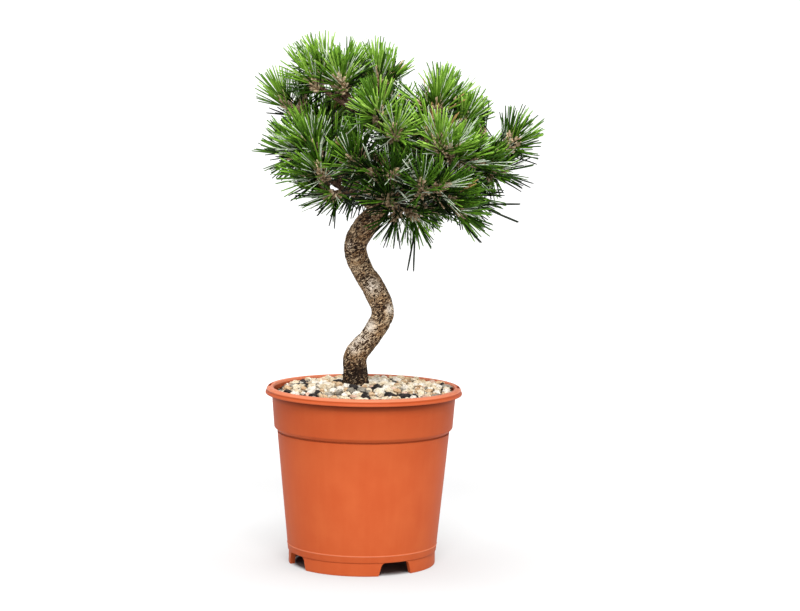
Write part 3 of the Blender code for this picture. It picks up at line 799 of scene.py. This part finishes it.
def trunk_at(path, height):
    """Where the trunk's middle line passes a height."""
    for (low, _), (high, _) in zip(path, path[1:]):
        if low.z <= height <= high.z:
            return low.lerp(high, (height - low.z) / (high.z - low.z))
    return path[-1][0]


class Shoot:
    """One shoot: where it leaves its limb, its first needles, its tip and the way it points."""

    def __init__(self, start, foot, tip, axis, pairs, lit):
        self.start = start
        self.foot = foot
        self.tip = tip
        self.axis = axis
        self.pairs = pairs
        self.lit = lit
        self.side = axis.orthogonal().normalized()

    def around(self, turn):
        """The way out from the shoot's side at a turn about it."""
        return Quaternion(self.axis, math.radians(turn)) @ self.side

    def at(self, t):
        """A place on its line, bent over from its start to its axis."""
        return (1 - t) ** 2 * self.start + 2 * t * (1 - t) * self.foot + t * t * self.tip

    def width(self, t):
        return between(SHOOT_WIDTH, t)


def facing(axis):
    return axis.to_track_quat("Z", "Y")


def main_shoot(fork, turn, rise, reach):
    along = direction(turn, rise)
    lift = LIFT if rise > LOWEST_LIFTED else 0
    axis = (along + lift * UP).normalized()
    tip = fork + reach * MM * along
    return Shoot(fork, tip - CORE_LENGTH * axis, tip, axis, NEEDLE_PAIRS, 1.0)


def side_shoots(shoot, draw):
    """Shorter shoots round a main one, that fill the room behind its tip."""
    made = []
    way = shoot.foot - shoot.start
    phase = draw.uniform(0, 360)
    count = draw.randint(*SIDE_SHOOTS)
    for i in range(count):
        start = shoot.start + between(SIDE_PLACES, (i + 0.5) / count) * way
        opening = math.radians(draw.uniform(*SIDE_OPENING))
        around = shoot.around(phase + i * GOLDEN_ANGLE)
        axis = (math.cos(opening) * shoot.axis + math.sin(opening) * around + SIDE_LIFT * UP).normalized()
        tip = start + draw.uniform(*SIDE_REACH) * axis
        # Side shoots are painted a little darker, as shade, by how lit they are
        made.append(Shoot(start, start.lerp(tip, 0.3), tip, axis, SIDE_PAIRS, 0.6))
    return made


def mass_of(row, trunk):
    """The stem's two ends and the main shoots of a mass."""
    height, (turn, rise, reach), shoots = row
    stem = trunk_at(trunk, height * MM)
    fork = stem + reach * MM * direction(turn, rise)
    return stem, fork, [main_shoot(fork, *shoot) for shoot in shoots]


def bough_path(start, fork):
    """The whole limb from the trunk's middle to the fork, arched a little."""
    reach = (fork - start).length
    path = []
    for i in range(BOUGH_STEPS + 1):
        t = i / BOUGH_STEPS
        rise = UP * BOUGH_ARCH * reach * 4 * t * (1 - t)
        path.append((start.lerp(fork, t) + rise, between((BOUGH_ROOT, BOUGH_TIP), t)))
    return path


def shoot_path(shoot):
    shares = [i / SHOOT_STEPS for i in range(SHOOT_STEPS + 1)]
    return [(shoot.at(t), shoot.width(t)) for t in shares]


# Needles, sheaths and buds

def needle_pair(radius):
    """Two needles from one sheath, each a slim rod with a point, one unit long up Z."""
    bm = bmesh.new()
    slim = radius / NEEDLE_LENGTH
    sections = [(height, radius * slim) for height, radius in NEEDLE_SECTIONS]
    for side in (-1, 1):
        add_rod(bm, sections, 3, math.radians(side * PAIR_TURN / 2), side * NEEDLE_BOW)
    return as_mesh(bm, "needle pair")


def needles_of(shoot, draw):
    """Needle pairs on golden turns up a shoot, opening most at its foot, as (place, turn, length) rows."""
    phase = draw.uniform(0, 360)
    rows = []
    for i in range(shoot.pairs):
        t = (i + draw.random()) / shoot.pairs
        around = shoot.around(phase + i * GOLDEN_ANGLE + draw.uniform(-1, 1) * OPENING_SPREAD)
        opening = math.radians(between(NEEDLE_OPENING, t) + draw.uniform(-1, 1) * OPENING_SPREAD)
        along = math.cos(opening) * shoot.axis + math.sin(opening) * around
        root = shoot.foot.lerp(shoot.tip, t) + shoot.width(1) / 3 * around
        spin = Quaternion(along, draw.uniform(0, math.tau))
        rows.append((tuple(root), tuple(spin @ facing(along)), NEEDLE_LENGTH * draw.uniform(*NEEDLE_SPREAD)))
    return rows


def crosses_a_gap(place, turn, length):
    """Whether a needle pair comes into a line of sight through the crown."""
    along = Quaternion(turn) @ UP
    for front, back, radius in SKY_GAPS:
        start = Vector(front) * MM
        way = (Vector(back) * MM - start).normalized()
        for i in range(GAP_PROBES):
            spot = Vector(place) + i / (GAP_PROBES - 1) * length * along - start
            if (spot - spot.dot(way) * way).length < radius * MM:
                return True
    return False


def green_of(shoot, low, high, draw):
    """Which green most of a shoot's needles take: painted light and shade, brighter up the crown, slightly to the
    left and on main shoots; also brighter on the youngest in front and darker on the oldest.
    """
    height = (shoot.tip.z - low) / (high - low)
    young = max(0, 1 - (shoot.tip - YOUNGEST).length / YOUNG_REACH)
    old = max(0, 1 - (shoot.tip - OLDEST).length / OLD_REACH)
    side = shoot.tip.x / SUNNY_REACH
    # Painted light and shade: up the crown, on main shoots and to the left the green is brighter
    light = 0.22 + 0.34 * height + 0.3 * young - 0.26 * old + 0.25 * shoot.lit - 0.02 * side
    light += draw.uniform(-0.1, 0.1)
    return min(len(GREENS) - 1, max(0, round(light * len(GREENS) - 0.5)))


def dealt_green(own, t, draw):
    """The name of one pair's green: its shoot's own, darker low on the shoot where needles are older and painted as
    shaded, or now and then another.
    """
    chance = draw.random()
    if chance < STRAW_SHARE:
        return "straw"
    # A painted highlight: a pale glint needle now and then
    if chance < STRAW_SHARE + GLINT_SHARE:
        return "silver"
    # Painted shade, and older needles: a pair low on its shoot is darker
    if t < OLD_AND_SHADED_SHARE:
        own -= 1
    if t < OLDEST_AND_SHADED_SHARE:
        own -= 1
    chance = draw.random()
    if chance < DARKER_SHARE:
        own -= 1
    elif chance > 1 - LIGHTER_SHARE:
        own += 1
    return GREENS[min(len(GREENS) - 1, max(0, own))][0]


def make_needles(shoots, draw):
    """The needles of all shoots, in a piece for each green, and the papery sheaths at their roots."""
    low = min(shoot.tip.z for shoot in shoots)
    high = max(shoot.tip.z for shoot in shoots)
    dealt = {name: [] for name, _, _ in GREENS + OTHER_GREENS}
    sheaths = []
    for shoot in shoots:
        own = green_of(shoot, low, high, draw)
        for i, (place, turn, length) in enumerate(needles_of(shoot, draw)):
            name = dealt_green(own, i / shoot.pairs, draw)
            if crosses_a_gap(place, turn, length):
                continue
            dealt[name].append((place, turn, (length,) * 3))
            sheaths.append((place, turn, (SHEATH_LENGTH,) * 3))
    for root, tip in STRAYS:
        along = (Vector(tip) - Vector(root)) * MM
        dealt["shade"].append((tuple(Vector(root) * MM), tuple(facing(along)), (along.length,) * 3))
    pieces = []
    for name, light, dark in GREENS + OTHER_GREENS:
        pattern = needle_pair(GLINT_RADIUS if name == "silver" else NEEDLE_RADIUS)
        material = needle_green(f"{name} needles", light, dark)
        pieces.append(copies_piece(f"needles_{name}", pattern, dealt[name], material))
    papery = shoot_bark("papery sheaths", (222, 204, 172), (160, 132, 100))
    return pieces, copies_piece("sheaths", rod_mesh("sheath", SHEATH_SECTIONS, 4), sheaths, papery)


def make_buds(shoots, draw):
    """Pale buds at each shoot's tip, the middle one largest."""
    points = []
    for shoot in shoots:
        length = draw.uniform(*BUD_LENGTH)
        points.append((tuple(shoot.tip), tuple(facing(shoot.axis)), (length, length, length)))
        phase = draw.uniform(0, 360)
        for i in range(draw.randint(*BUDS)):
            around = shoot.around(phase + i * GOLDEN_ANGLE)
            axis = (shoot.axis + draw.uniform(0.35, 0.7) * around).normalized()
            size = length * draw.uniform(0.55, 0.8)
            root = shoot.tip + shoot.width(1) / 3 * around
            points.append((tuple(root), tuple(facing(axis)), (size, size, size)))
    scaly = shoot_bark("bud scales", (236, 224, 200), (188, 158, 124), 1.2 * MM)
    return copies_piece("buds", rod_mesh("bud", BUD_SECTIONS, 6), points, scaly)


def make_pegs(shoots, draw):
    """Stubs of old scales and sheaths on the bare part of each shoot."""
    points = []
    for shoot in shoots:
        for i in range(PEGS):
            t = i / PEGS
            around = shoot.around(i * GOLDEN_ANGLE)
            axis = (shoot.axis + draw.uniform(0.6, 1.3) * around).normalized()
            length = draw.uniform(*PEG_LENGTH)
            root = shoot.at(t) + shoot.width(t) * 0.42 * around
            points.append((tuple(root), tuple(facing(axis)), (length, length, length)))
    scaly = shoot_bark("shoot scales", (108, 80, 56), (44, 32, 24))
    return copies_piece("shoot_scales", rod_mesh("scale", PEG_SECTIONS, 4), points, scaly)


# Pot and stones

def rounded(corners):
    """A profile of (radius, height, rounding) corners with its corners turned into arcs."""
    points = []
    for before, here, after in zip(corners, corners[1:], corners[2:]):
        place = Vector(here[:2])
        way_in = Vector(before[:2]) - place
        way_out = Vector(after[:2]) - place
        cut = min(here[2], way_in.length / 2.1, way_out.length / 2.1)
        start = place + cut * way_in.normalized()
        end = place + cut * way_out.normalized()
        for i in range(5):
            t = i / 4
            points.append((1 - t) ** 2 * start + 2 * t * (1 - t) * place + t * t * end)
    return [Vector(corners[0][:2])] + points + [Vector(corners[-1][:2])]


def section(rows, radius, height):
    """Rows of a section in mm, set at a radius and a height."""
    return [(radius + out * MM, height + up * MM, rounding * MM) for out, up, rounding in rows]


def pot_corners():
    """The pot's section from the middle of its inner floor, over the lip and down to its foot."""
    under_lip = POT_HEIGHT - LIP_HEIGHT
    collar_foot = under_lip - COLLAR_HEIGHT
    chamfer_foot = collar_foot - CHAMFER
    body_top = COLLAR_RADIUS - COLLAR_TAPER - CHAMFER
    taper = (body_top - BODY_FOOT_RADIUS) / (chamfer_foot - FOOT_HEIGHT)
    line_radius = BODY_FOOT_RADIUS + taper * (LINE_HEIGHT - FOOT_HEIGHT)
    ring_inner = FOOT_RING_OUTER - FOOT_RING_WIDTH
    floor_top = FOOT_HEIGHT + FLOOR
    inside = [
        (0, floor_top, 0),
        (BODY_FOOT_RADIUS - WALL, floor_top, 3 * MM),
        (body_top - WALL - 2 * MM, chamfer_foot, 1 * MM),
        (COLLAR_RADIUS - COLLAR_TAPER - WALL, collar_foot, 1 * MM),
        (COLLAR_RADIUS - WALL, under_lip, 1 * MM),
    ]
    outside = [
        (COLLAR_RADIUS, under_lip, 1 * MM),
        (COLLAR_RADIUS - COLLAR_TAPER, collar_foot, 1 * MM),
    ]
    foot = [
        (BODY_FOOT_RADIUS, FOOT_HEIGHT, 0.5 * MM),
        (FOOT_RING_OUTER - 0.3 * MM, FOOT_HEIGHT - 0.3 * MM, 0.2 * MM),
        (FOOT_RING_OUTER, FOOT_HEIGHT - 0.9 * MM, 0.3 * MM),
        (FOOT_RING_OUTER, 0, 1 * MM),
        (ring_inner, 0, 1 * MM),
        (ring_inner, FOOT_HEIGHT, 0.8 * MM),
        (0, FOOT_HEIGHT, 0),
    ]
    lip = section(LIP_SECTION, LIP_RADIUS, POT_HEIGHT)
    groove = section(GROOVE_SECTION, body_top, chamfer_foot)
    line = section(LINE_SECTION, line_radius, LINE_HEIGHT)
    return inside + lip + outside + groove + line + foot


def wedge(size, width_above, rounding):
    """A box with its upper side drawn in to a width and rounded, for a gap in the foot ring."""
    bm = bmesh.new()
    bmesh.ops.create_cube(bm, size=1)
    bmesh.ops.scale(bm, vec=size, verts=bm.verts)
    for vert in bm.verts:
        if vert.co.z > 0:
            vert.co.y *= width_above / size[1]
    upper = [edge for edge in bm.edges if all(vert.co.z > 0 for vert in edge.verts)]
    across = [edge for edge in upper if abs(edge.verts[0].co.y - edge.verts[1].co.y) < MM]
    if rounding:
        bmesh.ops.bevel(bm, geom=across, offset=rounding, segments=5, affect="EDGES", profile=0.5)
    return as_mesh(bm, "gap")


def pot_cutters(cutters):
    """The gaps between the feet and the two slots in the lip."""
    height = FOOT_HEIGHT - FOOT_GAP_ROOF
    drawn_in = (FOOT_GAP_WIDTH[0] - FOOT_GAP_WIDTH[1]) / 2
    low_width = FOOT_GAP_WIDTH[0] + 2 * drawn_in
    places = []
    for i in range(FEET):
        size = (4 * FOOT_RING_WIDTH, low_width, 2 * height)
        places.append((wedge(size, FOOT_GAP_WIDTH[1], FOOT_GAP_ROUNDING), FOOT_GAP_TURN + i * 360 / FEET, 0))
    for turn in SLOT_TURNS:
        places.append((wedge(SLOT_SIZE, SLOT_SIZE[1], 0), turn, POT_HEIGHT))
    for i, (mesh, turn, level) in enumerate(places):
        cutter = bpy.data.objects.new(f"gap_{i + 1}", mesh)
        cutters.objects.link(cutter)
        radius = SLOT_RADIUS if level else FOOT_RING_OUTER - FOOT_RING_WIDTH / 2
        cutter.location = POT_AXIS + radius * direction(turn, 0) + level * UP
        cutter.rotation_euler.z = math.radians(turn)


def make_pot():
    bm = bmesh.new()
    profile = [bm.verts.new((max(point.x, 0), 0, point.y)) for point in rounded(pot_corners())]
    edges = [bm.edges.new(pair) for pair in zip(profile, profile[1:])]
    bmesh.ops.spin(
        bm, geom=profile + edges, axis=(0, 0, 1), cent=(0, 0, 0), steps=POT_STEPS, angle=math.tau, use_merge=True
    )
    bmesh.ops.remove_doubles(bm, verts=bm.verts, dist=0.001 * MM)
    bmesh.ops.recalc_face_normals(bm, faces=bm.faces)
    bmesh.ops.translate(bm, vec=POT_AXIS, verts=bm.verts)
    pot = as_piece("nursery_pot", as_mesh(bm, "pot"), pot_plastic())
    cutters = bpy.data.collections.new("Pot cutters")
    bpy.context.scene.collection.children.link(cutters)
    pot_cutters(cutters)
    cut = pot.modifiers.new("Gaps", "BOOLEAN")
    cut.operation = "DIFFERENCE"
    cut.operand_type = "COLLECTION"
    cut.collection = cutters
    made = finished(pot)
    for cutter in list(cutters.objects):
        bpy.data.objects.remove(cutter)
    bpy.data.collections.remove(cutters)
    made.data.shade_smooth()
    made.data.set_sharp_from_angle(angle=math.radians(40))
    return made


def trunk_foot():
    x, y, _, _ = TRUNK_BENDS[1]
    return Vector((x, y, 0)) * MM


def mound_height(place):
    """The stones' mean level: flat under the trunk, falling to the wall, lower on the left and in front."""
    away = (place - trunk_foot()).xy.length
    fall = min(1, max(0, (away - GROUND_FLAT) / (COLLAR_RADIUS - GROUND_FLAT)))
    out = (place - POT_AXIS) / COLLAR_RADIUS
    lean = MOUND_LEAN[0] * out.x + MOUND_LEAN[1] * out.y
    return GROUND - (GROUND - MOUND_EDGE) * fall + lean * fall


def make_bed(draw):
    """The coarse grit that shows between the stones."""
    bm = bmesh.new()
    rings, steps = BED_STEPS
    rows = [[bm.verts.new(POT_AXIS + (mound_height(POT_AXIS) - BED_DEPTH) * UP)]]
    for i in range(1, rings + 1):
        row = []
        for k in range(steps):
            place = POT_AXIS + MOUND_INNER_RADIUS * i / rings * direction(360 * k / steps, 0)
            place.z = mound_height(place) - BED_DEPTH + draw.uniform(-1, 1) * MM
            row.append(bm.verts.new(place))
        rows.append(row)
    for k in range(steps):
        after = (k + 1) % steps
        bm.faces.new((rows[0][0], rows[1][k], rows[1][after]))
        for low, high in zip(rows[1:], rows[2:]):
            bm.faces.new((low[k], high[k], high[after], low[after]))
    grit = mineral("coarse grit", (120, 102, 80), (72, 58, 44))
    return as_piece("grit_bed", as_mesh(bm, "grit bed"), grit)


def pebble(draw):
    """A blunt, angular stone: the hull of a few points on a ball, about one unit across."""
    bm = bmesh.new()
    for i in range(STONE_CORNERS):
        rise = math.degrees(math.asin(1 - 2 * (i + 0.5) / STONE_CORNERS))
        bm.verts.new(direction(i * GOLDEN_ANGLE + draw.uniform(-20, 20), rise) * draw.uniform(0.4, 0.56))
    bmesh.ops.convex_hull(bm, input=bm.verts)
    loose = [vert for vert in bm.verts if not vert.link_faces]
    bmesh.ops.delete(bm, geom=loose, context="VERTS")
    bmesh.ops.recalc_face_normals(bm, faces=bm.faces)
    return as_mesh(bm, "pebble")


def stone_places(draw):
    """Stones by kind as (place, turn, size), the larger ones first and none too near another."""
    heaps = {kind[0]: [] for kind in STONE_KINDS}
    taken = []
    for tries, least, most, sunk, near in STONE_LAYERS:
        for _ in range(tries):
            size = draw.uniform(least, most) * MM
            reach = (MOUND_INNER_RADIUS - 0.45 * size) * math.sqrt(draw.random())
            place = POT_AXIS + reach * direction(draw.uniform(0, 360), 0)
            right = place.x > POT_AXIS.x
            kind = draw.choices(STONE_KINDS, [row[1][right] for row in STONE_KINDS])[0]
            spin = Quaternion(UP, draw.uniform(0, math.tau)) @ Quaternion((1, 0, 0), draw.uniform(-0.5, 0.5))
            rise = draw.uniform(-1.2, 1.0) * MM
            flat = [draw.uniform(*ends) for ends in STONE_FLATNESS]
            if (place - trunk_foot()).xy.length < TRUNK_RING + size / 2:
                continue
            if any((place - other).xy.length < near * (size + width) / 2 for other, width in taken):
                continue
            taken.append((place.copy(), size))
            place.z = mound_height(place) + rise - sunk * MM
            heaps[kind[0]].append((tuple(place), tuple(spin), (size * kind[4], size * flat[0], size * flat[1])))
    return heaps


def make_stones(draw):
    """The top dressing: stones of several kinds heaped on the grit."""
    heaps = stone_places(draw)
    pieces = []
    for name, _, light, dark, _ in STONE_KINDS:
        material = mineral(f"{name} pumice", light, dark)
        for part in range(STONE_SHAPES):
            rows = heaps[name][part::STONE_SHAPES]
            piece = copies_piece(f"stones_{name}_{part + 1}", pebble(draw), rows, material)
            piece.data.set_sharp_from_angle(angle=math.radians(38))
            pieces.append(piece)
    return pieces


# Scene

def make_stage():
    """Pale paper that glows further out, its glow cut out under the pot as painted shade, a low white wall round
    it, a grey sky and soft lights.
    """
    paper = Finish("paper", 0.9, 0.0)
    paper.set("Base Color", PAPER)
    glow = paper.away_from((0, 0, 0)).above(PAPER_GLOW_STARTS, PAPER_GLOW_STARTS / 2)
    shaded = 1 - paper.away_from(POT_AXIS / MM).above(*SHADED_PAPER)
    paper.set("Emission Color", paper.mixed(shaded, paper.mixed(glow, *PAPER_GLOW), (0, 0, 0)))
    paper.set("Emission Strength", 1.0)
    bpy.ops.mesh.primitive_circle_add(radius=STAGE_RADIUS, fill_type="NGON")
    floor = bpy.context.object
    floor.name = "floor"
    bpy.ops.mesh.primitive_cylinder_add(radius=STAGE_RADIUS, depth=STAGE_WALL, end_fill_type="NOTHING")
    wall = bpy.context.object
    wall.name = "wall"
    wall.location.z = STAGE_WALL / 2
    for piece in (floor, wall):
        piece.data.materials.append(paper.material)
    scene = bpy.context.scene
    scene.view_settings.view_transform = "Standard"
    scene.world = bpy.data.worlds.new("studio")
    scene.world.use_nodes = True
    sky = scene.world.node_tree.nodes["Background"]
    sky.inputs["Color"].default_value = (1, 1, 1, 1)
    sky.inputs["Strength"].default_value = SKY
    for name, place, side, power in LIGHTS:
        light = bpy.data.lights.new(name, "AREA")
        light.size = side
        light.energy = power
        lamp = bpy.data.objects.new(name, light)
        scene.collection.objects.link(lamp)
        lamp.location = place
        lamp.rotation_euler = (AIM - lamp.location).to_track_quat("-Z", "Y").to_euler()


def make_camera():
    camera = bpy.data.objects.new("camera", bpy.data.cameras.new("camera"))
    bpy.context.scene.collection.objects.link(camera)
    camera.location = CAMERA_PLACE
    aim = Quaternion((1, 0, 0), math.radians(90 - CAMERA_TILT))
    camera.rotation_mode = "QUATERNION"
    camera.rotation_quaternion = aim @ Quaternion(UP, math.radians(CAMERA_ROLL))
    camera.data.lens = CAMERA_LENS
    bpy.context.scene.camera = camera


def nodes_named(start):
    return [name for name in frame["nodes"] if name.startswith(start)]


def make_plant(draw):
    """Trunk, boughs, shoots, needles and buds."""
    trunk = smooth_path(TRUNK_BENDS, STEPS_PER_BEND)
    barked = bark()
    visible = [(place, width) for place, width in trunk if place.z > GROUND - 6 * MM]
    piece = limbs_piece("barked_trunk", [visible], TRUNK_STEP, TRUNK_SIDES, BARK_PLATE, 1.3 * MM, 2.6 * MM, barked)
    dressed(piece, "bark", "trunk")
    boughs = []
    shoots = []
    for row in MASSES.values():
        stem, fork, main = mass_of(row, trunk)
        boughs.append(bough_path(stem, fork))
        for shoot in main:
            shoots += [shoot] + side_shoots(shoot, draw)
    piece = limbs_piece("barked_boughs", boughs, 1.3 * MM, 26, 0.8 * BARK_PLATE, 0.9 * MM, 0.8 * MM, barked)
    dressed(piece, "bark", *nodes_named("bough_"))
    skin = shoot_bark("young shoots", (124, 96, 74), (62, 46, 36))
    paths = [shoot_path(shoot) for shoot in shoots]
    dressed(limbs_piece("shoots", paths, 1.6 * MM, 9, 2.6 * MM, 0.8 * MM, 0.0, skin), "bark")
    dressed(make_pegs(shoots, draw), "bark")
    dressed(make_buds(shoots, draw), "bark")
    needles, sheaths = make_needles(shoots, draw)
    dressed(sheaths, "bark")
    for piece in needles:
        dressed(piece, "needles", *nodes_named("needles_"))


def make_ground(draw):
    dressed(make_bed(draw), "pumice", "top_dressing")
    for piece in make_stones(draw):
        dressed(piece, "pumice", "top_dressing")
    fill = frame["nodes"]["fill"]
    for holder in fill.material_slots:
        holder.material = mineral("damp grit", (96, 78, 60), (56, 44, 34))


def main():
    make_camera()
    make_stage()
    draw = random.Random(SEED)
    dressed(make_pot(), "pot_plastic", "pot")
    make_ground(draw)
    make_plant(draw)


main()
